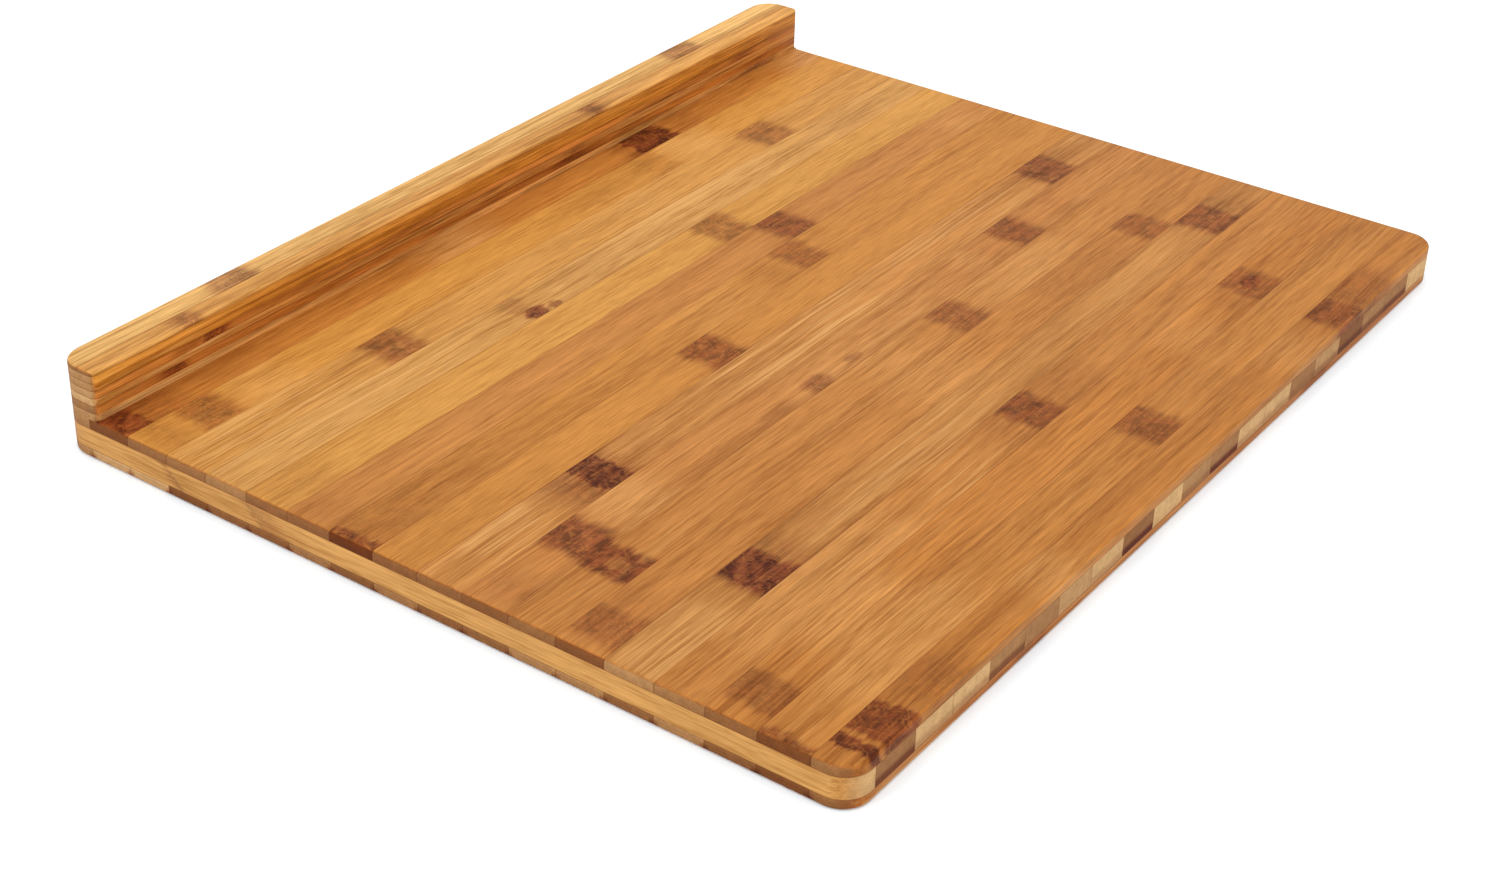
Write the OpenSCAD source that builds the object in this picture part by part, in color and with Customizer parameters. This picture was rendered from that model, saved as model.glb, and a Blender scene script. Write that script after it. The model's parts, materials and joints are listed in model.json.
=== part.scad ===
// Laminated bamboo cutting board with a raised ledge along one long side.
//
// Three plies of bamboo are glued face to face: staves along X on top and underneath, and
// strips along Y between them. A ledge of flat layers is glued on top, flush with the back, and
// is capped by two thinner strips side by side.
// The outline is then trimmed, so the outermost staves and strips are narrower than the rest.
// Origin: the middle of the underside. +X runs along the long side, +Y towards the ledge.

/* [Board] */
// Length of the board, along the staves and the ledge
board_length = 457.2; // [380:0.1:560]
// Width of the board, across the staves
board_width = 355.6; // [300:0.1:420]
// Height from the underside to the top of the ledge
overall_height = 38.1; // [32:0.1:50]
// Radius of the four upright corners
corner_radius = 11; // [6:0.5:14]
// Rounding of the board's upper and lower edges
edge_rounding = 1.5; // [0.5:0.1:2.5]

/* [Plies] */
// Thickness of the top ply, and of the bottom ply
face_ply = 4.3; // [3:0.1:5]
// Thickness of the core between them
core_ply = 8.9; // [8:0.1:12]
// Width left of the front and back staves after trimming
edge_stave_width = 15.8; // [8:0.1:18]
// Width left of the first core strip, at the -X end, after trimming
first_strip_width = 13; // [8:0.1:18]
// Width left of the last core strip, at the +X end, after trimming
last_strip_width = 7.2; // [5:0.1:18]

/* [Ledge] */
// Depth of the ledge, front to back
ledge_depth = 20; // [18:0.1:30]
// Thickness of the ledge's cap, planed thinner than the layers under it
cap_thickness = 1.4; // [1:0.1:2.5]
// Width of the rear one of the cap's two strips
cap_rear_width = 11.5; // [8:0.1:13]
// Rounding of the ledge's top edges
ledge_rounding = 1.2; // [0.5:0.1:2.2]
// Radius of the ledge's two upright front corners
ledge_corner = 2.5; // [2.4:0.1:3.5]

/* [Hidden] */
$fn = 96;

// Pieces in each ply, and layers in the ledge under its cap.
stave_count = 18;
strip_count = 21;
layer_count = 6;
// The bottom ply's full staves are alike, so two of them share a node. The two are half the
// full staves apart and never touch.
pair_count = (stave_count - 2) / 2;

function two_digits(n) = str(n < 10 ? "0" : "", n);
function top_stave_name(n) = str("top_stave_", two_digits(n));
function core_strip_name(n) = str("core_strip_", two_digits(n));
function bottom_pair_name(n) = str("bottom_stave_pair_", n);
function ledge_layer_name(n) = str("ledge_layer_", n);

board_thickness = 2 * face_ply + core_ply;
core_top = face_ply + core_ply;
half_length = board_length / 2;
half_width = board_width / 2;
stave_width = (board_width - 2 * edge_stave_width) / (stave_count - 2);
strip_width = (board_length - first_strip_width - last_strip_width) / (strip_count - 2);
ledge_front = half_width - ledge_depth;
ledge_height = overall_height - board_thickness;
layer_height = (ledge_height - cap_thickness) / layer_count;
cap_bottom = overall_height - cap_thickness;
cap_seam = half_width - cap_rear_width;
// How far a slicing box reaches past the outside of the board.
past = 5;

// Tones of bamboo, from the palest strips to the smoked ones.
pale = "#e3c48a";
golden = "#d79a4b";
amber = "#c8823a";
tan = "#b98a55";
umber = "#94602f";
smoked = "#6b3f22";

top_tones = [
    tan, golden, golden, golden, golden, tan, golden, tan, pale,
    golden, umber, tan, golden, pale, tan, golden, amber, tan
];
core_tones = [
    pale, umber, pale, golden, umber, tan, pale, pale, smoked, pale, tan,
    umber, pale, pale, umber, tan, smoked, tan, pale, pale, pale
];
pair_tones = [tan, umber, golden, umber, amber, smoked, tan, golden];
layer_tones = [tan, umber, tan, umber, golden, golden];

// Front side of stave n, counted from the front. One past the last gives the back side.
function stave_side(n) =
    n == 1 ? -half_width :
    n > stave_count ? half_width :
    -half_width + edge_stave_width + (n - 2) * stave_width;

// -X side of core strip n, counted along X. One past the last gives the board's +X end.
function strip_side(n) =
    n == 1 ? -half_length :
    n > strip_count ? half_length :
    -half_length + first_strip_width + (n - 2) * strip_width;

// Quarter of a disc, in the corner between +X and +Y.
module quarter_disc(radius) {
    if (radius > 0)
        intersection() {
            circle(radius);
            square(radius);
        }
}

// Section of a slab's rim, from x = 0 out to x = reach, rounded above and below.
module rim_section(reach, height, above, below) {
    square([reach - max(above, below), height]);
    translate([0, below])
        square([reach, height - above - below]);
    translate([reach - above, height - above])
        quarter_disc(above);
    translate([reach - below, below])
        mirror([0, 1])
            quarter_disc(below);
}

// Upright corner round with a rounded rim, standing at its own centre.
module corner_round(turn, radius, height, above, below) {
    rotate(turn)
        rotate_extrude(angle = 90)
            rim_section(radius, height, above, below);
}

// Straight side that looks along +X before it is turned, centred on the origin.
module straight_side(turn, length, reach, height, above, below) {
    rotate(turn)
        translate([0, length / 2, 0])
            rotate([90, 0, 0])
                linear_extrude(length)
                    rim_section(reach, height, above, below);
}

// Slab over the whole length from y = front to y = back, standing on z = 0.
module slab(front, back, height, front_radius, back_radius, above, below) {
    front_line = front + front_radius;
    back_line = back - back_radius;
    front_end = half_length - front_radius;
    back_end = half_length - back_radius;

    // Middle, as wide as the straight part of both ends
    translate([0, (front_line + back_line) / 2, 0])
        for (turn = [0, 180])
            straight_side(turn, back_line - front_line, half_length, height, above, below);

    // Front side and its corners
    translate([0, front_line, 0])
        straight_side(270, 2 * front_end, front_radius, height, above, below);
    translate([-front_end, front_line, 0])
        corner_round(180, front_radius, height, above, below);
    translate([front_end, front_line, 0])
        corner_round(270, front_radius, height, above, below);

    // Back side and its corners
    translate([0, back_line, 0])
        straight_side(90, 2 * back_end, back_radius, height, above, below);
    translate([-back_end, back_line, 0])
        corner_round(90, back_radius, height, above, below);
    translate([back_end, back_line, 0])
        corner_round(0, back_radius, height, above, below);
}

// Slicing box between two values of y and two of z, past both ends of the board.
module slice_across(y0, y1, z0, z1) {
    translate([-half_length - past, y0, z0])
        cube([board_length + 2 * past, y1 - y0, z1 - z0]);
}

// Board with its edges rounded, before it is divided into strips. Its sides run straight up
// into the ledge, so the upper edge is rounded only in front of the ledge.
module board_blank() {
    intersection() {
        slab(-half_width, half_width, board_thickness,
            corner_radius, corner_radius, edge_rounding, edge_rounding);
        slice_across(-half_width - past, ledge_front, -past, board_thickness + past);
    }
    intersection() {
        slab(-half_width, half_width, board_thickness,
            corner_radius, corner_radius, 0, edge_rounding);
        slice_across(ledge_front, half_width + past, -past, board_thickness + past);
    }
}

// Ledge with its edges rounded, before it is divided into layers.
module ledge_blank() {
    translate([0, 0, board_thickness])
        slab(ledge_front, half_width, ledge_height,
            ledge_corner, corner_radius, ledge_rounding, 0);
}

// Stave n of the face ply that lies between two heights.
module stave(n, z0, z1) {
    intersection() {
        board_blank();
        slice_across(stave_side(n), stave_side(n + 1), z0, z1);
    }
}

module top_stave(n) {
    color(top_tones[n - 1])
        stave(n, core_top, board_thickness);
}

module core_strip(n) {
    color(core_tones[n - 1])
        intersection() {
            board_blank();
            translate([strip_side(n), -half_width - past, face_ply])
                cube([strip_side(n + 1) - strip_side(n), board_width + 2 * past, core_ply]);
        }
}

module bottom_edge_staves() {
    color(tan)
        for (n = [1, stave_count])
            stave(n, 0, face_ply);
}

module bottom_stave_pair(n) {
    color(pair_tones[n - 1])
        for (first = [0, pair_count])
            stave(n + 1 + first, 0, face_ply);
}

// Part of the ledge that lies between two values of y and two of z.
module ledge_part(y0, y1, z0, z1) {
    intersection() {
        ledge_blank();
        slice_across(y0, y1, z0, z1);
    }
}

module ledge_layer(n) {
    layer_bottom = board_thickness + (n - 1) * layer_height;
    color(layer_tones[n - 1])
        ledge_part(ledge_front - past, half_width + past, layer_bottom, layer_bottom + layer_height);
}

module ledge_cap_front() {
    color(golden)
        ledge_part(ledge_front - past, cap_seam, cap_bottom, overall_height + past);
}

module ledge_cap_rear() {
    color(pale)
        ledge_part(cap_seam, half_width + past, cap_bottom, overall_height + past);
}

for (n = [1:stave_count])
    top_stave(n);
for (n = [1:strip_count])
    core_strip(n);
bottom_edge_staves();
for (n = [1:pair_count])
    bottom_stave_pair(n);
for (n = [1:layer_count])
    ledge_layer(n);
ledge_cap_front();
ledge_cap_rear();
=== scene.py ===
# Laminated bamboo cutting board with a raised ledge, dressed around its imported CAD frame.
#
# Each strip of bamboo is rebuilt as its own solid with finely rounded rims, carved out of one
# board blank and one ledge blank exactly where the frame divides them. All strips share one
# procedural bamboo, and each has its own tone, streaks, knots and end grain.
# Geometry is in metres. Materials work in millimetres: along the grain, across it and in depth.

import json
import math
import random

import bmesh
import bpy
from mathutils import Matrix, Vector


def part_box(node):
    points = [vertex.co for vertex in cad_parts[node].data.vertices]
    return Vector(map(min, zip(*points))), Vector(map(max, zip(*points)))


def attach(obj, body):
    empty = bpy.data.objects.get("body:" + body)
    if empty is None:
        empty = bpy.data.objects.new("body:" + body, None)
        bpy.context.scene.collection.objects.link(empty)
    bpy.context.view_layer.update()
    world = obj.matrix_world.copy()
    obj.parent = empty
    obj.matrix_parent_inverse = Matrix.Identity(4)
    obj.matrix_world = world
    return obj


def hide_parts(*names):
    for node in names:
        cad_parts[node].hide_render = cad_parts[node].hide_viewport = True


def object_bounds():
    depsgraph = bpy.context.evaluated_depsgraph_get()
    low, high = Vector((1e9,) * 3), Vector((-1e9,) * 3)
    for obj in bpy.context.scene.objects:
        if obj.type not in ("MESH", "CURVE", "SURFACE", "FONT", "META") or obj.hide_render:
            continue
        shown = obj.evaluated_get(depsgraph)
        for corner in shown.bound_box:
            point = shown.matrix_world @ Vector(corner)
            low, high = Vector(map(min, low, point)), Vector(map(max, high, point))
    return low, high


MM = 0.001
X, Y, Z = 0, 1, 2

# Rounding of the board and the ledge, as in the frame
CORNER_RADIUS = 11 * MM
EDGE_ROUNDING = 1.5 * MM
LEDGE_ROUNDING = 1.2 * MM
LEDGE_CORNER = 2.5 * MM

# Fineness of the rebuilt meshes
CORNER_STEPS = 28
RIM_STEPS = 8
WELD = 0.0001 * MM
SAME_PLACE = 0.02 * MM
SHARP_ANGLE = math.radians(30)


def paint(red, green, blue):
    """Linear colour from the 0 to 255 values of a display."""
    def linear(level):
        level /= 255
        return level / 12.92 if level <= 0.04045 else ((level + 0.055) / 1.055) ** 2.4
    return (linear(red), linear(green), linear(blue), 1)


# Long-grain tones of the strips, by the record's material slot
TONES = {
    "bamboo_pale": paint(182, 136, 76),
    "bamboo_golden": paint(178, 116, 48),
    "bamboo_amber": paint(170, 104, 40),
    "bamboo_tan": paint(170, 107, 48),
    "bamboo_umber": paint(158, 92, 38),
    "bamboo_smoked": paint(146, 84, 38),
}
PALE_STREAK = paint(208, 158, 96)
# The palest and the darkest end grain, as values of a display
END_PALE = (188, 149, 100)
END_DARK = (90, 40, 8)

# What darker bamboo, stains, knots, glue and a painted highlight on the rims do to the colour under
# them
REDDER = (0.96, 0.84, 0.66, 1)
STAIN_TINT = (0.72, 0.58, 0.44, 1)
KNOT_TINT = (0.56, 0.345, 0.42, 1)
KNOT_DARK = (0.21, 0.105, 0.15, 1)
KNOT_DEEP = (0.50, 0.60, 0.70, 1)
KNOT_HAIR = (0.88, 0.76, 0.76, 1)
SLANT_TINT = (0.80, 0.66, 0.52, 1)
BUNDLE_TINT = (0.66, 0.54, 0.42, 1)
FOOT_TINT = (0.37, 0.12, 0.02, 1)
GLUE_TINT = (0.62, 0.48, 0.36, 1)
# Painted highlight along the rounded rims
RIM_HIGHLIGHT_TINT = (1.24, 1.24, 1.24, 1)

# Sizes of the marks, in millimetres. The stain reaches this far past a knot's end.
STAIN_REACH = 18.0
# How ragged the ends of knots are, and the edges of small round ones
RAGGED_KNOT = 9.0
RAGGED_EYE = 4.0
# Distances from a glue line at which its dark begins and is full, and the same for dark corners
GLUE_SPAN = (0.35, 0.05)
CORNER_SPAN = (3.2, 0.8)
# Distances at which no glue line shows: for strips that have none, and added on glued faces
NO_SEAM = 1000.0
HIDDEN_SEAM = 100.0
# How far the fibres bend sideways, and how many bends go into a millimetre
BEND = 3.0
BENDS = 0.012
# How far off a strip's own stretch of grain may lie, each way along each axis
GRAIN_SPREAD = 400

# Shine, and the unit of the relief
IOR = 1.45
SPECULAR = 0.1
RELIEF_UNIT = 0.01 * MM

# The floor, a hair below the board
FLOOR_SIZE = 12
FLOOR_DROP = 0.1 * MM
FLOOR_COLOUR = (0.89, 0.955, 0.99, 1)


# ---------------------------------------------------------------- the strips

class Strip:
    """What one strip of bamboo looks like.

    tone: its own long-grain colour, if that isn't its slot's.
    streaks: contrast of the grain.
    pale: how much of it is pale streaks, 0 to 1.
    end: how dark its end grain is, 0 to 1.
    foot: how much darker the end grain gets towards the underside, 0 to 1.
    corner: the same beside the glue lines, where that is darker.
    knots, pale_spells (of pale streaks) and washes (of an evenly paler tone): (place, half
        length, depth, blur) along the grain, in millimetres but for the depth, which is 0 to 1,
        or more for the darkest knots.
    eyes: (place, place across, half length, half width, depth) of small round knots. One with a
        depth below 0 is a lighter spot in a knot.
    lean: how far the knots lean along the grain for each millimetre of height.
    """

    def __init__(self, tone=None, streaks=1.0, pale=0.0, end=0.5, foot=0.2, knots=(),
                 pale_spells=(), washes=(), eyes=(), lean=0.0, corner=0.0):
        self.tone = tone
        self.streaks = streaks
        self.pale = pale
        self.end = end
        self.foot = foot
        self.knots = knots
        self.pale_spells = pale_spells
        self.washes = washes
        self.eyes = eyes
        self.lean = lean
        self.corner = corner


# Blur of a knot's two ends
CRISP, SOFT, FADED, STAINED = 5, 8, 12, 18

# Top staves, from the front. Their tones grow lighter towards the back, partly painted light that
# falls brighter there.
TOP = {
    1: Strip(paint(160, 102, 44), 1.1, 0.10, 0.50,
             knots=((-216, 3, 0.95, 2), (-200.5, 9.5, 0.9, 3), (-172, 14, 0.35, STAINED),
                    (138, 11.5, 0.77, SOFT), (164, 18, 0.45, STAINED)),
             washes=((-96, 14, 0.18, 20), (98, 14, 0.13, 20))),
    2: Strip(paint(166, 108, 48), 1.0, 0.15, 0.80,
             knots=((-227, 2, 0.8, CRISP), (12, 11, 0.7, SOFT), (52, 14, 0.12, STAINED),
                    (214, 14, 0.13, STAINED)),
             washes=((-160, 38, 0.2, 25),)),
    3: Strip(paint(166, 106, 46), 1.3, 0.10, 0.60,
             knots=((-211, 9, 0.5, CRISP), (140, 11, 0.6, SOFT), (122, 8, 0.2, FADED)),
             washes=((-156, 25, 0.24, 25), (84, 14, 0.12, 20)),
             eyes=((141, 0, 6, 4, 0.4),)),
    4: Strip(paint(166, 108, 50), 1.1, 0.10, 0.44,
             knots=((-6, 11, 0.8, SOFT), (24, 14, 0.2, STAINED), (-25, 8, 0.22, STAINED)),
             pale_spells=((-150, 30, 0.3, 40), (-60, 20, 0.5, 30)),
             washes=((-150, 50, 0.17, 30),)),
    5: Strip(paint(164, 110, 54), 1.2, 0.15, 0.30,
             knots=((-157, 11, 1.12, SOFT), (-144, 10, 0.35, STAINED), (-116, 10, 0.14, STAINED),
                    (184, 12, 0.8, SOFT), (202, 10, 0.3, STAINED)),
             pale_spells=((-208, 25, 0.4, 20), (-70, 60, 0.5, 60), (120, 30, 0.35, 40)),
             washes=((-208, 25, 0.18, 20),)),
    6: Strip(paint(168, 110, 52), 1.1, 0.05, 0.74,
             knots=((-213, 10, 0.6, SOFT), (-196, 8, 0.2, STAINED), (159, 10, 0.58, SOFT),
                    (110, 30, 0.15, STAINED)),
             washes=((-6, 20, 0.15, 30),)),
    7: Strip(paint(168, 110, 52), 0.9, 0.15, 0.56,
             knots=((-183, 9, 0.9, CRISP), (41, 10, 0.62, SOFT), (216, 14, 0.15, STAINED)),
             pale_spells=((-158, 20, 0.3, 30), (90, 40, 0.3, 40)),
             washes=((-6, 16, 0.12, 30), (85, 40, 0.12, 40)),
             eyes=((-183, 0, 4, 5, -0.4),)),
    8: Strip(paint(168, 110, 54), 1.1, 0.10, 0.68,
             knots=((-216, 8, 0.24, STAINED), (-179, 10, 0.85, SOFT), (121, 10, 0.7, SOFT),
                    (98, 6, 0.08, STAINED), (156, 8, 0.16, STAINED)),
             pale_spells=((0, 60, 0.25, 60),),
             washes=((-149, 16, 0.23, 20), (8, 50, 0.12, 50), (84, 8, 0.14, 12)),
             eyes=((-39, -6, 9, 6, 0.6), (-15, -6, 5, 3, 0.45), (-66, -6, 12, 4, 0.2))),
    9: Strip(paint(170, 114, 56), 1.3, 0.20, 0.60,
             knots=((-141, 8, 1.4, CRISP), (-147, 18, 0.5, STAINED), (-116, 8, 0.12, STAINED),
                    (183, 12, 0.8, SOFT), (198, 5, 0.15, STAINED)),
             pale_spells=((-192, 18, 0.6, 12), (-12, 56, 0.7, 50), (110, 50, 0.5, 40)),
             washes=((-50, 20, 0.06, 30), (222, 12, 0.13, 20))),
    10: Strip(paint(174, 116, 52), 0.6, 0.0, 0.64, knots=((-44, 10, 0.82, SOFT),)),
    11: Strip(paint(174, 116, 52), 0.8, 0.0, 0.97,
              knots=((-226, 3, 0.9, CRISP), (-215, 50, 0.32, 110), (45, 9, 0.62, SOFT),
                     (25, 7, 0.2, FADED)),
              washes=((-16, 20, 0.1, 30),)),
    12: Strip(paint(170, 112, 54), 0.8, 0.05, 0.62,
              knots=((-220, 8, 0.2, STAINED), (64, 10, 0.78, SOFT)),
              washes=((206, 12, 0.1, 20),)),
    13: Strip(paint(186, 132, 62), 0.5, 0.05, 0.60,
              knots=((-214, 16, 0.2, STAINED), (45, 10, 0.66, SOFT))),
    14: Strip(paint(180, 130, 68), 1.2, 0.15, 0.38,
              knots=((-63, 5, 0.2, SOFT), (-20, 20, 0.1, STAINED), (172, 16, 0.13, STAINED)),
              pale_spells=((-160, 65, 0.5, 40), (-42, 5, 0.9, 8), (42, 75, 0.5, 40)),
              washes=((45, 75, 0.16, 40),),
              eyes=((-62, -7, 6, 5, 1.0), (-52, -8, 3.5, 3, 0.7), (-65, 4, 7, 8, 0.2))),
    15: Strip(paint(182, 128, 62), 1.0, 0.10, 0.52,
              knots=((-118, 10, 0.74, SOFT), (136, 11, 0.62, SOFT)),
              pale_spells=((-190, 40, 0.6, 40),),
              washes=((44, 12, 0.12, 20),)),
    16: Strip(paint(186, 128, 56), 0.6, 0.0, 0.56,
              knots=((-218, 7, 0.34, FADED), (-197, 10, 0.66, SOFT), (78, 9, 0.3, SOFT),
                     (50, 32, 0.16, 30)),
              pale_spells=((105, 16, 0.4, 20),),
              washes=((-169, 14, 0.2, 18), (105, 16, 0.26, 20))),
    # Its tone is darker, partly painted shade from the ledge beside it
    17: Strip(paint(174, 110, 46), 0.9, 0.0, 0.78,
              knots=((-222, 7.5, 1.2, SOFT), (-207, 12, 0.44, STAINED), (-168, 20, 0.12, STAINED),
                     (97, 13, 1.35, SOFT), (125, 8, 0.22, FADED), (82, 6, 0.4, FADED)),
              washes=((-36, 18, 0.36, 30), (222, 18, 0.36, 25))),
    18: Strip(end=0.4),
}

# Core strips, from the -X end: how dark each one's end grain is, and how much darker its foot
CORE_ENDS = {
    1: (0.04, 0.1), 2: (0.50, 0.8), 3: (0.02, 0.4), 4: (0.0, 0.45), 5: (0.40, 0.7),
    6: (0.43, 0.0), 7: (0.20, 0.0), 8: (0.04, 0.35), 9: (0.58, 1.0), 10: (0.0, 0.1),
    11: (0.32, 0.4), 12: (0.45, 1.0), 13: (0.04, 0.35), 14: (0.04, 0.45), 15: (0.50, 0.25),
    16: (0.24, 0.5), 17: (0.70, 0.7), 18: (0.42, 0.7), 19: (0.48, 0.8), 20: (0.0, 0.1),
    21: (0.0, 0.1),
}
# The part of a core strip's height over which its foot darkens, from the underside up
CORE_FOOT = (0.2, 0.5)
# The first core strip shows its long side too: its tone and marks
CORE_SIDE = {
    "tone": paint(182, 133, 73),
    "knots": ((172, 8, 0.15, FADED), (120, 2, 0.36, 6), (119, 1, 0.55, 3), (77, 2, 0.45, 4),
              (72, 6, 0.36, 8), (-40, 12, 0.08, STAINED)),
    "lean": 1.0,
}

# Bottom staves, from the front: how dark their end grain is, and the tone of the first one's side,
# which is darker partly with painted shade from the floor below it
BOTTOM_ENDS = (0.55, 0.75, 0.60, 0.30, 0.56, 0.30, 0.30, 0.55, 0.60, 0.40, 0.60, 0.40, 0.60, 0.58,
               0.72, 0.05, 0.05, 0.30)
BOTTOM_FRONT_TONE_WITH_SHADE = paint(152, 90, 36)
# What the photo doesn't show of them is drawn by chance from these ranges: the place of the first
# knot, the way on to the next, the depth of each, and the share of pale streaks
FIRST_KNOT = (-220, 20)
NEXT_KNOT = (170, 230)
KNOT_DEPTHS = (0.4, 0.95)
PALE_SHARES = (0, 0.4)
# Half the length of those knots, and the place that they stay short of
HALF_KNOT = 10
LAST_KNOT = 225

# Ledge layers, from the board up, and the two strips of its cap
LEDGE = {
    1: Strip(paint(183, 125, 64), 2.6, 0.35, 0.28,
             knots=((-222, 4, 0.5, FADED), (196, 12, 0.6, STAINED)),
             pale_spells=((-195, 35, 1.0, 30),)),
    2: Strip(paint(162, 95, 35), 2.6, 0.1, 0.46,
             knots=((-189, 7, 0.85, SOFT), (50, 11, 0.6, FADED))),
    3: Strip(paint(169, 110, 50), 2.6, 0.25, 0.06,
             knots=((54, 9, 0.4, FADED),),
             pale_spells=((-200, 35, 1.0, 30),)),
    4: Strip(paint(166, 101, 40), 2.6, 0.1, 0.18,
             knots=((-167, 7, 0.95, SOFT), (-181, 8, 0.45, FADED), (182, 7, 0.5, FADED))),
    5: Strip(paint(177, 113, 40), 2.4, 0.0, 0.28, pale_spells=((-205, 25, 0.5, 30),)),
    6: Strip(paint(193, 129, 52), 1.9, 0.0, 0.28, pale_spells=((-200, 30, 0.5, 30),)),
    "front": Strip(paint(185, 133, 69), 2.0, 0.15, 0.5,
                   knots=((-178, 5.5, 0.65, SOFT), (71, 6, 0.7, SOFT))),
    "rear": Strip(paint(196, 152, 90), 1.7, 0.15, 0.5,
                  knots=((-144, 11, 0.68, SOFT), (150, 11, 0.68, SOFT))),
}


# ---------------------------------------------------------------- meshes

def rim_levels(bottom, top, below, above):
    """(height, lower inset, upper inset) of each level of a blank, from its underside up."""
    levels = []
    for step in range(RIM_STEPS + 1):
        turn = math.pi / 2 * step / RIM_STEPS
        levels.append((bottom + below * (1 - math.cos(turn)), below * (1 - math.sin(turn)), 0.0))
    for step in range(RIM_STEPS, -1, -1):
        turn = math.pi / 2 * step / RIM_STEPS
        levels.append((top - above * (1 - math.cos(turn)), 0.0, above * (1 - math.sin(turn))))
    return levels


def outline(half_length, front, back, front_radius, back_radius, front_inset, back_inset, step_at):
    """Rounded outline, anticlockwise. The inset may change at y = step_at."""
    points = []
    for side, end, start in ((-1, -1, 180), (1, -1, 270), (1, 1, 0), (-1, 1, 90)):
        radius = front_radius if end < 0 else back_radius
        inset = front_inset if end < 0 else back_inset
        centre_x = side * (half_length - radius)
        centre_y = front + radius if end < 0 else back - radius
        for step in range(CORNER_STEPS + 1):
            turn = math.radians(start + 90 * step / CORNER_STEPS)
            points.append((centre_x + (radius - inset) * math.cos(turn),
                           centre_y + (radius - inset) * math.sin(turn)))
        if step_at is not None and side * end < 0:
            insets = (front_inset, back_inset) if side > 0 else (back_inset, front_inset)
            points.extend((side * (half_length - inset), step_at) for inset in insets)
    return points


def loft(rings):
    """Closed solid through rings of (x, y, z) points."""
    solid = bmesh.new()
    loops = [[solid.verts.new(point) for point in ring] for ring in rings]
    count = len(loops[0])
    for lower, upper in zip(loops, loops[1:]):
        for i in range(count):
            j = (i + 1) % count
            solid.faces.new((lower[i], lower[j], upper[j], upper[i]))
    solid.faces.new(reversed(loops[0]))
    solid.faces.new(loops[-1])
    bmesh.ops.remove_doubles(solid, verts=solid.verts, dist=WELD)
    bmesh.ops.dissolve_degenerate(solid, edges=solid.edges, dist=WELD)
    return solid


def board_blank(low, high, ledge_front):
    """The board before it is divided. Its top edge is rounded only in front of the ledge."""
    rings = []
    for z, lower, upper in rim_levels(low.z, high.z, EDGE_ROUNDING, EDGE_ROUNDING):
        shape = outline(high.x, low.y, high.y, CORNER_RADIUS, CORNER_RADIUS,
                        lower + upper, lower, ledge_front)
        rings.append([(x, y, z) for x, y in shape])
    return loft(rings)


def ledge_blank(low, high):
    """The ledge before it is divided, rounded along its top edge."""
    rings = []
    for z, lower, upper in rim_levels(low.z, high.z, 0.0, LEDGE_ROUNDING):
        shape = outline(high.x, low.y, high.y, LEDGE_CORNER, CORNER_RADIUS, upper, upper, None)
        rings.append([(x, y, z) for x, y in shape])
    return loft(rings)


def extent(solid, axis):
    """A solid's two limits along an axis."""
    places = [vert.co[axis] for vert in solid.verts]
    return min(places), max(places)


def carve(blank, cuts):
    """Part of a blank. cuts gives the two limits to cut at for each axis to be cut."""
    part = blank.copy()
    for axis, pair in cuts.items():
        for limit, side in zip(pair, (-1, 1)):
            if abs(limit - extent(blank, axis)[side > 0]) < SAME_PLACE:
                continue
            normal = Vector((0, 0, 0))
            normal[axis] = side
            everything = part.verts[:] + part.edges[:] + part.faces[:]
            cut = bmesh.ops.bisect_plane(part, geom=everything, dist=WELD,
                                         plane_co=normal * limit * side, plane_no=normal,
                                         clear_outer=True)
            edges = [item for item in cut["geom_cut"] if isinstance(item, bmesh.types.BMEdge)]
            bmesh.ops.contextual_create(part, geom=edges)
    bmesh.ops.recalc_face_normals(part, faces=part.faces)
    return part


def add_strip(name, blank, cuts, node, material):
    """One strip of bamboo, which stands for a CAD node."""
    solid = carve(blank, cuts)
    mesh = bpy.data.meshes.new(name)
    solid.to_mesh(mesh)
    solid.free()
    mesh.shade_smooth()
    mesh.set_sharp_from_angle(angle=SHARP_ANGLE)
    mesh.materials.append(material)
    piece = bpy.data.objects.new(name, mesh)
    bpy.context.scene.collection.objects.link(piece)
    even = piece.modifiers.new("even_shading", "WEIGHTED_NORMAL")
    even.keep_sharp = True
    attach(piece, "root")
    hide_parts(node)


# ---------------------------------------------------------------- node helpers

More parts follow.
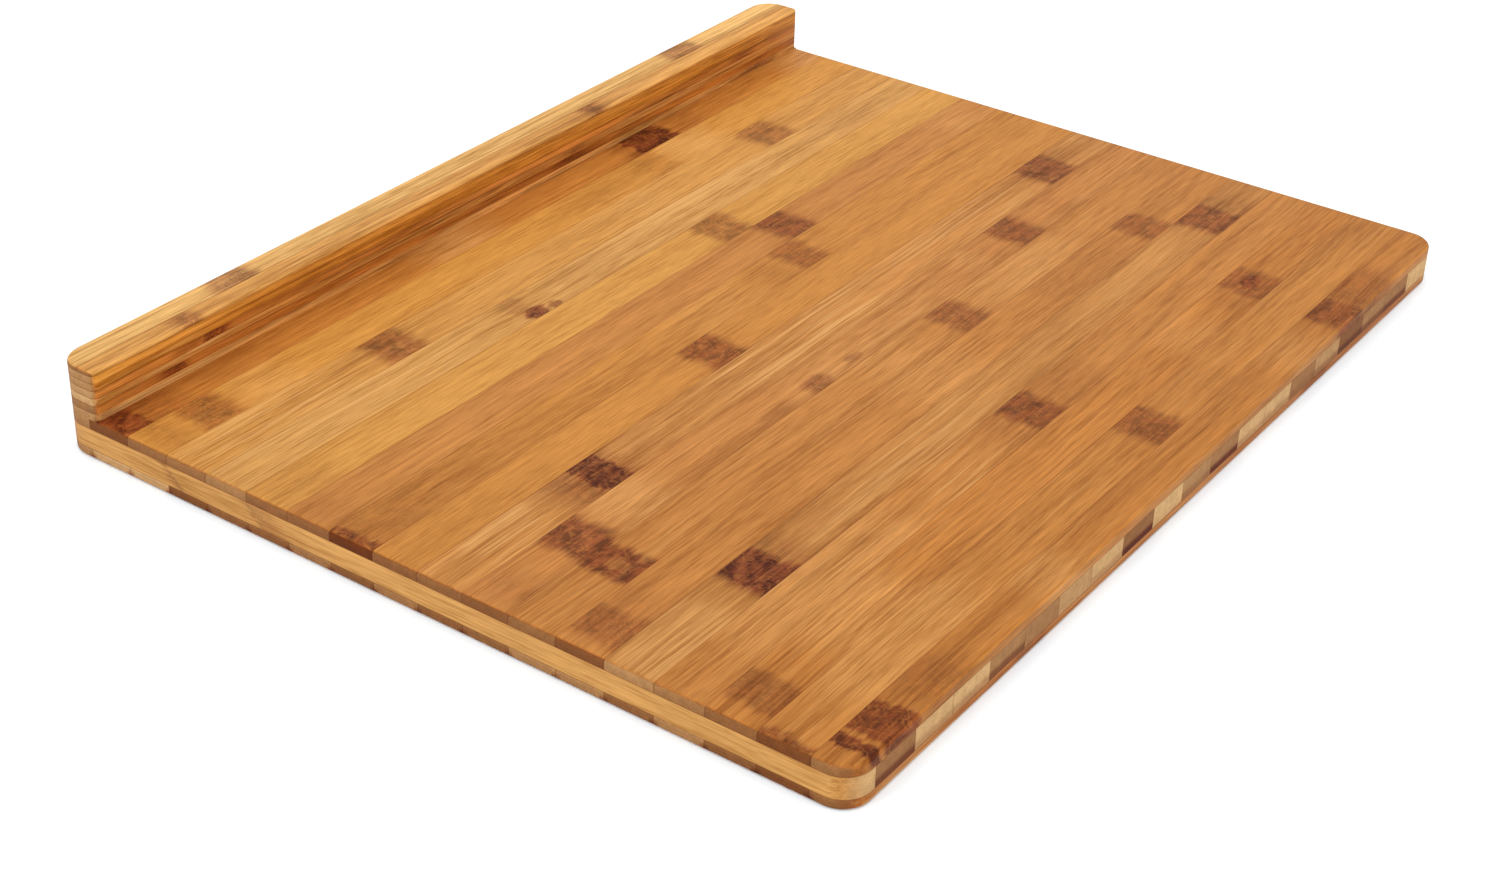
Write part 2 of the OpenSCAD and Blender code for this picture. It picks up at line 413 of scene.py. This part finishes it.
class Nodes:
    """Short calls for the nodes of one tree. Each argument is a socket or a plain value."""

    # Where a mix node keeps its share, its two colours and its result
    MIX_INPUTS = (0, 6, 7)
    MIX_RESULT = 2

    def __init__(self, tree):
        self.tree = tree

    def put(self, socket, value):
        """Link a socket to another one, or set it to a plain value."""
        if isinstance(value, bpy.types.NodeSocket):
            self.tree.links.new(value, socket)
        else:
            socket.default_value = value

    def add(self, kind, *values, **settings):
        """New node. Its inputs are given the values in order, and itself the settings."""
        node = self.tree.nodes.new(kind)
        for name, value in settings.items():
            setattr(node, name, value)
        for socket, value in zip(node.inputs, values):
            self.put(socket, value)
        return node

    def math(self, operation, *values, clamp=False):
        return self.add("ShaderNodeMath", *values, operation=operation, use_clamp=clamp).outputs[0]

    def vector(self, operation, *values):
        return self.add("ShaderNodeVectorMath", *values, operation=operation).outputs[0]

    def times(self, *values):
        return self.math("MULTIPLY", *values)

    def centred(self, value):
        """0 to 1 moved to -0.5 to 0.5."""
        return self.math("SUBTRACT", value, 0.5)

    def split(self, vector):
        return self.add("ShaderNodeSeparateXYZ", vector).outputs

    def join(self, *values):
        return self.add("ShaderNodeCombineXYZ", *values).outputs[0]

    def step(self, value, low, high):
        """Smooth 0 to 1 as value goes from low to high."""
        node = self.add("ShaderNodeMapRange", value, low, high, interpolation_type="SMOOTHSTEP")
        return node.outputs[0]

    def scale(self, value, low, high):
        """0 to 1 stretched to low to high."""
        return self.add("ShaderNodeMapRange", value, 0.0, 1.0, low, high).outputs[0]

    def noise(self, place, detail=2.0, roughness=0.5, distortion=0.0):
        node = self.tree.nodes.new("ShaderNodeTexNoise")
        node.noise_dimensions = "3D"
        for name, value in (("Vector", place), ("Scale", 1.0), ("Detail", detail),
                            ("Roughness", roughness), ("Distortion", distortion)):
            self.put(node.inputs[name], value)
        return node.outputs["Fac"]

    def figure(self, grain, density, **settings):
        """Noise with so many features to a millimetre along, across and into the grain."""
        return self.noise(self.vector("MULTIPLY", grain, density), **settings)

    def stretched(self, grain, along, across, **settings):
        """Noise with features about so many millimetres long and wide."""
        return self.figure(grain, (1 / along, 1 / across, 1 / across), **settings)

    def dots(self, grain, density):
        """Distance to the nearest of scattered points, so many of them to a millimetre."""
        node = self.tree.nodes.new("ShaderNodeTexVoronoi")
        self.put(node.inputs["Vector"], self.vector("MULTIPLY", grain, density))
        node.inputs["Scale"].default_value = 1.0
        return node.outputs["Distance"]

    def mix(self, share, first, second, blend_type="MIX"):
        node = self.tree.nodes.new("ShaderNodeMix")
        node.data_type = "RGBA"
        node.blend_type = blend_type
        for index, value in zip(self.MIX_INPUTS, (share, first, second)):
            self.put(node.inputs[index], value)
        return node.outputs[self.MIX_RESULT]

    def tint(self, share, colour, tint):
        """Colour, a share of the way to colour times tint."""
        return self.mix(share, colour, tint, "MULTIPLY")

    def shade(self, colour, factor):
        """Colour times a plain factor."""
        return self.tint(1.0, colour, self.join(factor, factor, factor))

    def group(self, tree, *values):
        """A group's outputs, with the values given to its inputs in order."""
        return self.add("ShaderNodeGroup", *values, node_tree=tree).outputs


def new_group(name, inputs, outputs):
    """Empty node group, its helper, and its input and output sockets."""
    tree = bpy.data.node_groups.new(name, "ShaderNodeTree")
    for kind, sockets in (("INPUT", inputs), ("OUTPUT", outputs)):
        for label, socket_type in sockets:
            tree.interface.new_socket(label, in_out=kind, socket_type="NodeSocket" + socket_type)
    start = tree.nodes.new("NodeGroupInput")
    finish = tree.nodes.new("NodeGroupOutput")
    return tree, Nodes(tree), start.outputs, finish.inputs


# ---------------------------------------------------------------- bamboo

def spell_group():
    """How far inside a stretch of the grain a point is, and inside the stain round it."""
    tree, nodes, given, result = new_group(
        "bamboo_spell",
        [("Along", "Float"), ("Place", "Float"), ("Half Length", "Float"), ("Depth", "Float"),
         ("Blur", "Float")],
        [("Body", "Float"), ("Stain", "Float")])
    away = nodes.math("ABSOLUTE", nodes.math("SUBTRACT", given["Along"], given["Place"]))
    past = nodes.math("SUBTRACT", away, given["Half Length"])
    body = nodes.math("SUBTRACT", 0.5, nodes.math("DIVIDE", past, given["Blur"]), clamp=True)
    stain = nodes.math("SUBTRACT", 1.0, nodes.math("DIVIDE", past, STAIN_REACH), clamp=True)
    nodes.put(result["Body"], nodes.times(nodes.step(body, 0.0, 1.0), given["Depth"]))
    nodes.put(result["Stain"], nodes.times(stain, given["Depth"]))
    return tree


def eye_group():
    """How far inside a small round knot a point is."""
    tree, nodes, given, result = new_group(
        "bamboo_eye",
        [("Along", "Float"), ("Across", "Float"), ("Place", "Float"), ("Place Across", "Float"),
         ("Half Length", "Float"), ("Half Width", "Float"), ("Depth", "Float")],
        [("Body", "Float")])
    parts = []
    for direction, place, size in (("Along", "Place", "Half Length"),
                                   ("Across", "Place Across", "Half Width")):
        away = nodes.math("SUBTRACT", given[direction], given[place])
        parts.append(nodes.math("POWER", nodes.math("DIVIDE", away, given[size]), 2.0))
    body = nodes.step(nodes.math("ADD", *parts), 1.4, 0.3)
    nodes.put(result["Body"], nodes.times(body, given["Depth"]))
    return tree


def long_grain(nodes, given, streak, fibre):
    """Colour along the grain: drifts, streaks and fibres, with lines and dashes among them."""
    grain = given["Grain"]
    drift = nodes.centred(nodes.stretched(grain, 150, 9, detail=1.0))
    fleck = nodes.centred(nodes.stretched(grain, 14, 0.9, detail=2.0, roughness=0.65))
    change = nodes.math("MULTIPLY_ADD", drift, 0.50, nodes.times(streak, 0.62))
    change = nodes.math("MULTIPLY_ADD", fibre, 0.55, change)
    change = nodes.times(change, given["Streaks"])
    change = nodes.math("MULTIPLY_ADD", fleck, 0.75, change)
    colour = nodes.shade(given["Tone"], nodes.math("ADD", change, 1.0))
    colour = nodes.tint(nodes.step(change, 0.05, -0.25), colour, REDDER)

    pale_line = nodes.step(nodes.stretched(grain, 100, 1.5, detail=2.5, roughness=0.6), 0.46, 0.68)
    colour = nodes.mix(nodes.times(pale_line, given["Pale"]), colour, PALE_STREAK)
    dark_line = nodes.step(nodes.stretched(grain, 60, 0.6, detail=1.5), 0.60, 0.74)
    dark_share = nodes.times(dark_line, nodes.times(given["Streaks"], 0.25))
    colour = nodes.tint(dark_share, colour, STAIN_TINT)
    dash = nodes.step(nodes.stretched(grain, 16, 0.28, detail=1.0), 0.56, 0.70)
    colour = nodes.tint(nodes.times(dash, 0.4), colour, STAIN_TINT)

    # Stain round the knots, drawn out along the fibres
    drawn_out = nodes.step(nodes.stretched(grain, 40, 1.6, detail=2.0), 0.40, 0.70)
    stain_share = nodes.times(given["Stain"], nodes.times(drawn_out, 0.7))
    return nodes.tint(stain_share, colour, STAIN_TINT)


def knot_tint(nodes, given, mottle):
    """What a knot does to the colour: mottled, with lighter hair-like lines wandering over it."""
    tangle = nodes.figure(given["Grain"], (0.22, 0.17, 0.17), detail=1.0, distortion=1.2)
    hair = nodes.step(nodes.math("ABSOLUTE", nodes.centred(tangle)), 0.05, 0.0)
    deep = nodes.math("SUBTRACT", given["Knot"], 1.0, clamp=True)
    tint = nodes.mix(nodes.step(mottle, 0.36, 0.64), KNOT_TINT, KNOT_DARK)
    tint = nodes.mix(nodes.times(hair, 0.5), tint, KNOT_HAIR)
    return nodes.tint(deep, tint, KNOT_DEEP)


def end_grain(nodes, given, bundle):
    """Colour of the end grain: cloudy, dotted with cut fibre bundles, and darker at its foot."""
    cloud = nodes.figure(given["Grain"], (0.05, 0.3, 0.3), detail=3.0)
    colour = nodes.shade(given["End Tone"], nodes.scale(cloud, 0.72, 1.28))
    colour = nodes.tint(given["Foot"], colour, FOOT_TINT)
    return nodes.tint(nodes.times(bundle, 0.55), colour, BUNDLE_TINT)


def bamboo_group():
    """Colour, roughness and relief of bamboo, for any strip."""
    tree, nodes, given, result = new_group(
        "bamboo",
        [("Grain", "Vector"), ("Facing", "Vector"), ("Tone", "Color"), ("End Tone", "Color"),
         ("Streaks", "Float"), ("Pale", "Float"), ("Knot", "Float"), ("Stain", "Float"),
         ("Seam", "Float"), ("Foot", "Float")],
        [("Color", "Color"), ("Roughness", "Float"), ("Height", "Float")])
    grain = given["Grain"]
    along, _, upward = nodes.split(nodes.vector("ABSOLUTE", given["Facing"]))
    streak = nodes.centred(nodes.stretched(grain, 80, 1.3, detail=2.0, roughness=0.6))
    fibre = nodes.centred(nodes.stretched(grain, 26, 0.5, detail=2.0, roughness=0.65))
    mottle = nodes.figure(grain, (0.14, 0.22, 0.22), detail=2.5, roughness=0.6, distortion=0.4)
    patchy = nodes.figure(grain, (0.06, 0.25, 0.25), detail=3.0)

    # Where the face cuts across the fibres, where it cuts them at a slant, and bundles of them
    end = nodes.step(along, 0.45, 0.85)
    slant = nodes.times(nodes.step(along, 0.15, 0.55), nodes.step(along, 0.98, 0.80))
    bundle = nodes.step(nodes.dots(grain, (0.05, 1.25, 1.25)), 0.42, 0.18)
    glue = nodes.step(given["Seam"], *GLUE_SPAN)
    # Rims: 0 on level and upright faces, 1 half way round the rounding. In patches they get a
    # painted highlight and are a little polished.
    level = nodes.times(upward, upward)
    rim = nodes.times(nodes.times(level, nodes.math("SUBTRACT", 1.0, level)), 4.0)
    rim_highlight_and_polish = nodes.times(nodes.step(rim, 0.15, 0.95), nodes.step(patchy, 0.30, 0.62))

    colour = long_grain(nodes, given, streak, fibre)
    colour = nodes.tint(given["Knot"], colour, knot_tint(nodes, given, mottle))
    colour = nodes.mix(end, colour, end_grain(nodes, given, bundle))
    colour = nodes.tint(nodes.times(slant, 0.6), colour, SLANT_TINT)
    colour = nodes.tint(nodes.times(glue, nodes.scale(end, 0.6, 0.9)), colour, GLUE_TINT)
    # Painted highlight on the rims, in patches
    colour = nodes.tint(nodes.times(rim_highlight_and_polish, 0.5), colour, RIM_HIGHLIGHT_TINT)
    nodes.put(result["Color"], colour)

    # Roughness: satin, duller on knots and end grain, a little polished in patches on the rims
    rough = nodes.math("MULTIPLY_ADD", fibre, -0.30, 0.47)
    for value, share in ((given["Knot"], 0.08), (end, 0.14), (rim_highlight_and_polish, -0.08), (patchy, 0.06)):
        rough = nodes.math("MULTIPLY_ADD", value, share, rough)
    nodes.put(result["Roughness"], rough)

    # Relief: streaks, fibres, uneven knots, and hollows at fibre bundles and glue lines
    height = nodes.math("MULTIPLY_ADD", streak, 2.0, nodes.times(fibre, 3.0))
    for value, share in ((nodes.times(given["Knot"], nodes.centred(mottle)), 6.0),
                         (nodes.times(end, bundle), -4.0), (glue, -4.0)):
        height = nodes.math("MULTIPLY_ADD", value, share, height)
    nodes.put(result["Height"], height)
    return tree


def mix_colours(share, first, second):
    """A colour a share of the way from the first to the second."""
    return tuple(a + (b - a) * share for a, b in zip(first, second))


def strip_places(nodes):
    """Where a point lies, in millimetres, and which way it faces: both as X, Y and Z sockets."""
    texture = nodes.add("ShaderNodeTexCoord").outputs
    scaled = nodes.add("ShaderNodeVectorMath", texture["Object"], operation="SCALE")
    scaled.inputs["Scale"].default_value = 1 / MM
    return nodes.split(scaled.outputs[0]), nodes.split(texture["Normal"])


def strip_grain(nodes, name, run, width, depth):
    """A strip's own stretch of grain, with a slow bend in its fibres."""
    chance = random.Random(name)
    shift = tuple(chance.uniform(-GRAIN_SPREAD, GRAIN_SPREAD) for _ in (X, Y, Z))
    bend = nodes.noise(nodes.vector("ADD", nodes.join(nodes.times(run, BENDS), 0.0, 0.0), shift),
                       detail=1.0)
    bent = nodes.math("MULTIPLY_ADD", bend, BEND, width)
    return nodes.vector("ADD", nodes.join(run, bent, depth), shift)


def strip_marks(nodes, strip, tone, grain, point, middle):
    """Knots with ragged ends, small round knots, and spells of paler grain. point and middle are
    a point's place and the strip's middle, along the grain, across it and in height. Gives how
    deep in a knot and in its stain the point is, how pale its streaks are, and its tone."""
    run, width, depth = point
    _, middle_width, middle_depth = middle
    ragged = nodes.centred(nodes.figure(grain, (0.07, 0.30, 0.30), detail=2.0))
    reach = nodes.math("MULTIPLY_ADD", ragged, RAGGED_KNOT, run)
    if strip.lean:
        above = nodes.math("SUBTRACT", depth, middle_depth)
        reach = nodes.math("MULTIPLY_ADD", above, -strip.lean, reach)
    knot, stain, pale = 0.0, 0.0, strip.pale
    for spell in strip.knots:
        found = nodes.group(spell_tree, reach, *spell)
        knot = nodes.math("MAXIMUM", knot, found["Body"])
        stain = nodes.math("MAXIMUM", stain, found["Stain"])
    for eye in strip.eyes:
        aside = nodes.math("SUBTRACT", width, middle_width)
        aside = nodes.math("MULTIPLY_ADD", ragged, RAGGED_EYE, aside)
        found = nodes.group(eye_tree, reach, aside, *eye)
        knot = nodes.math("ADD", knot, found["Body"], clamp=True)
    for spell in strip.pale_spells:
        found = nodes.group(spell_tree, reach, *spell)
        pale = nodes.math("MAXIMUM", pale, found["Body"])
    for spell in strip.washes:
        found = nodes.group(spell_tree, reach, *spell)
        tone = nodes.mix(found["Body"], tone, PALE_STREAK)
    return knot, stain, pale, tone


def seam_distance(nodes, place, facing, box, seams):
    """Distance to the nearest glue line that shows on the face."""
    nearest = NO_SEAM
    for axis, side in seams:
        limit = box[side > 0][axis] / MM
        gap = nodes.math("ABSOLUTE", nodes.math("SUBTRACT", place[axis], limit))
        glued_face = nodes.step(nodes.math("ABSOLUTE", facing[axis]), 0.75, 0.9)
        gap = nodes.math("MULTIPLY_ADD", glued_face, HIDDEN_SEAM, gap)
        nearest = nodes.math("MINIMUM", nearest, gap)
    return nearest


def add_surface(nodes, look):
    """The shader, with the bamboo group's colour, roughness and relief."""
    bump = nodes.add("ShaderNodeBump")
    bump.inputs["Strength"].default_value = 1.0
    bump.inputs["Distance"].default_value = RELIEF_UNIT
    nodes.put(bump.inputs["Height"], look["Height"])
    surface = nodes.add("ShaderNodeBsdfPrincipled")
    surface.inputs["IOR"].default_value = IOR
    surface.inputs["Specular IOR Level"].default_value = SPECULAR
    nodes.put(surface.inputs["Base Color"], look["Color"])
    nodes.put(surface.inputs["Roughness"], look["Roughness"])
    nodes.put(surface.inputs["Normal"], bump.outputs["Normal"])
    output = nodes.add("ShaderNodeOutputMaterial")
    nodes.put(output.inputs["Surface"], surface.outputs["BSDF"])


def bamboo(name, strip, slot, along, box, seams, foot_span):
    """Material of one strip. along is the grain's axis, box the strip's two corners in metres,
    seams the (axis, side) pairs where it is glued to a neighbour, and foot_span the heights
    between which its foot darkens."""
    material = bpy.data.materials.new(name)
    material.use_nodes = True
    material.node_tree.nodes.clear()
    nodes = Nodes(material.node_tree)
    across = Y if along == X else X
    order = (along, across, Z)
    place, facing = strip_places(nodes)
    point = [place[axis] for axis in order]
    middle = [(box[0][axis] + box[1][axis]) / 2 / MM for axis in order]
    grain = strip_grain(nodes, name, *point)
    tone = strip.tone or TONES[slot]
    knot, stain, pale, tone = strip_marks(nodes, strip, tone, grain, point, middle)
    seam = seam_distance(nodes, place, facing, box, seams)
    corner = nodes.times(nodes.step(seam, *CORNER_SPAN), strip.corner)
    foot = nodes.times(nodes.step(place[Z], foot_span[1] / MM, foot_span[0] / MM),
                       nodes.math("MAXIMUM", corner, strip.foot))

    turned = nodes.join(*(facing[axis] for axis in order))
    end_tone = paint(*mix_colours(strip.end, END_PALE, END_DARK))
    look = nodes.group(bamboo_tree, grain, turned, tone, end_tone, strip.streaks, pale, knot,
                       stain, seam, foot)
    add_surface(nodes, look)
    return material


# ---------------------------------------------------------------- camera, light and floor

def add_camera():
    """The viewing angle: from the front left, over the near corner."""
    azimuth, elevation, roll = (math.radians(angle) for angle in (-54.6, 30.7, 1.4))
    place = (-0.745, -0.489, 0.506)
    back = Vector((math.sin(azimuth) * math.cos(elevation),
                   -math.cos(azimuth) * math.cos(elevation), math.sin(elevation)))
    level_right = Vector((math.cos(azimuth), math.sin(azimuth), 0))
    level_up = back.cross(level_right)
    right = level_right * math.cos(roll) + level_up * math.sin(roll)
    up = level_up * math.cos(roll) - level_right * math.sin(roll)
    data = bpy.data.cameras.new("camera")
    data.lens = 60.5
    data.shift_x = 0.0243
    data.shift_y = -0.0267
    camera = bpy.data.objects.new("camera", data)
    turn = Matrix((right, up, back)).transposed().to_4x4()
    camera.matrix_world = Matrix.Translation(place) @ turn
    bpy.context.scene.collection.objects.link(camera)
    bpy.context.scene.camera = camera


def add_sun(name, direction, strength, spread):
    """Soft light from a direction, the same all over the board."""
    data = bpy.data.lights.new(name, "SUN")
    data.energy = strength
    data.angle = math.radians(spread)
    sun = bpy.data.objects.new(name, data)
    sun.rotation_mode = "QUATERNION"
    sun.rotation_quaternion = Vector(direction).to_track_quat("Z", "Y")
    bpy.context.scene.collection.objects.link(sun)


def add_light():
    """Plain soft studio light."""
    world = bpy.data.worlds.new("studio")
    world.use_nodes = True
    world.node_tree.nodes["Background"].inputs["Color"].default_value = (1, 1, 1, 1)
    world.node_tree.nodes["Background"].inputs["Strength"].default_value = 1.0
    bpy.context.scene.world = world
    add_sun("key", (-0.2, 0.0, 1.0), 0.9, 70)
    add_sun("left_fill", (-1.0, -0.1, 0.35), 0.9, 80)
    add_sun("front_fill", (-0.2, -1.0, 0.35), 0.5, 80)
    view = bpy.context.scene.view_settings
    view.view_transform = "Standard"
    view.look = "None"


def add_floor():
    """Pale floor."""
    bpy.ops.mesh.primitive_plane_add(size=FLOOR_SIZE, location=(0, 0, -FLOOR_DROP))
    floor = bpy.context.object
    floor.name = "floor"
    paper = bpy.data.materials.new("pale_floor")
    paper.use_nodes = True
    coat = paper.node_tree.nodes["Principled BSDF"]
    coat.inputs["Base Color"].default_value = FLOOR_COLOUR
    coat.inputs["Roughness"].default_value = 0.9
    coat.inputs["Specular IOR Level"].default_value = SPECULAR
    floor.data.materials.append(paper)


# ---------------------------------------------------------------- the board

def limits(node, axis):
    """A CAD node's two limits along an axis."""
    low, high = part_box(node)
    return low[axis], high[axis]


def inner_seams(cuts, blank):
    """The (axis, side) pairs at which a strip meets a neighbour."""
    return [(axis, side) for axis, pair in cuts.items() for limit, side in zip(pair, (-1, 1))
            if abs(limit - extent(blank, axis)[side > 0]) > SAME_PLACE]


def build_strip(name, strip, blank, cuts, node, along, foot_span):
    """One strip of bamboo in its own material."""
    low, high = (Vector(corner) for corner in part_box(node))
    for axis, pair in cuts.items():
        low[axis], high[axis] = pair
    seams = inner_seams(cuts, blank)
    material = bamboo(name, strip, slot_of[node], along, (low, high), seams, foot_span)
    add_strip(name, blank, cuts, node, material)


def build_top(blank):
    """The top ply's staves, from the front."""
    for number, strip in TOP.items():
        node = f"top_stave_{number:02d}"
        cuts = {Y: limits(node, Y), Z: limits(node, Z)}
        build_strip(f"stave_top_{number:02d}", strip, blank, cuts, node, X, limits(node, Z))


def build_core(blank):
    """The core's strips, from the -X end."""
    for number, (end, foot) in CORE_ENDS.items():
        node = f"core_strip_{number:02d}"
        cuts = {X: limits(node, X), Z: limits(node, Z)}
        side = CORE_SIDE if number == 1 else {}
        low, high = limits(node, Z)
        foot_span = tuple(low + share * (high - low) for share in CORE_FOOT)
        build_strip(f"strip_core_{number:02d}", Strip(end=end, foot=foot, **side), blank, cuts,
                    node, Y, foot_span)


def bottom_node(number):
    """The CAD node that holds bottom stave number, counted from the front."""
    if number in (1, len(TOP)):
        return "bottom_edge_staves"
    pairs = (len(TOP) - 2) // 2
    return f"bottom_stave_pair_{(number - 2) % pairs + 1}"


def hidden_knots(chance):
    """A knot or two for a strip that the photo doesn't show."""
    first = chance.uniform(*FIRST_KNOT)
    places = (first, first + chance.uniform(*NEXT_KNOT))
    return tuple((round(place), HALF_KNOT, round(chance.uniform(*KNOT_DEPTHS), 2), SOFT)
                 for place in places if place < LAST_KNOT)


def build_bottom(blank):
    """The bottom ply's staves, cut in line with the top ply's."""
    chance = random.Random("bottom")
    for number, end in enumerate(BOTTOM_ENDS, 1):
        node = bottom_node(number)
        cuts = {Y: limits(f"top_stave_{number:02d}", Y), Z: limits(node, Z)}
        knots = hidden_knots(chance)
        pale = chance.uniform(*PALE_SHARES)
        # The first one's side carries painted shade from the floor
        strip = Strip(BOTTOM_FRONT_TONE_WITH_SHADE if number == 1 else None, pale=pale, end=end, foot=0.3,
                      corner=1.0, knots=knots)
        build_strip(f"stave_bottom_{number:02d}", strip, blank, cuts, node, X, limits(node, Z))


def build_ledge(blank):
    """The ledge's layers and the strips of its cap."""
    for key, strip in LEDGE.items():
        in_cap = isinstance(key, str)
        node = f"ledge_cap_{key}" if in_cap else f"ledge_layer_{key}"
        cuts = {axis: limits(node, axis) for axis in ((Y, Z) if in_cap else (Z,))}
        build_strip(f"ledge_{key}", strip, blank, cuts, node, X, limits(node, Z))


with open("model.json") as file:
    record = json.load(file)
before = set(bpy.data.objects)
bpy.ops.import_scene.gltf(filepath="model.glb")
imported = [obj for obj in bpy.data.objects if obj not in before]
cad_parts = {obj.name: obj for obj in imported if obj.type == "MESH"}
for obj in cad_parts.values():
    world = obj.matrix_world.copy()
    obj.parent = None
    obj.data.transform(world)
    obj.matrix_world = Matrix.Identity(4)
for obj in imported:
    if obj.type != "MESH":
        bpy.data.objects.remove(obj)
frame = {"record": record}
cad_low, cad_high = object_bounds()
slot_of = {part["node"]: part["material_slot"] for part in frame["record"]["subparts"]}

add_camera()
add_light()
add_floor()
spell_tree = spell_group()
eye_tree = eye_group()
bamboo_tree = bamboo_group()

ledge_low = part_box("ledge_layer_1")[0]
ledge = ledge_blank(ledge_low, cad_high)
board = board_blank(cad_low, Vector((cad_high.x, cad_high.y, ledge_low.z)), ledge_low.y)
build_top(board)
build_core(board)
build_bottom(board)
build_ledge(ledge)
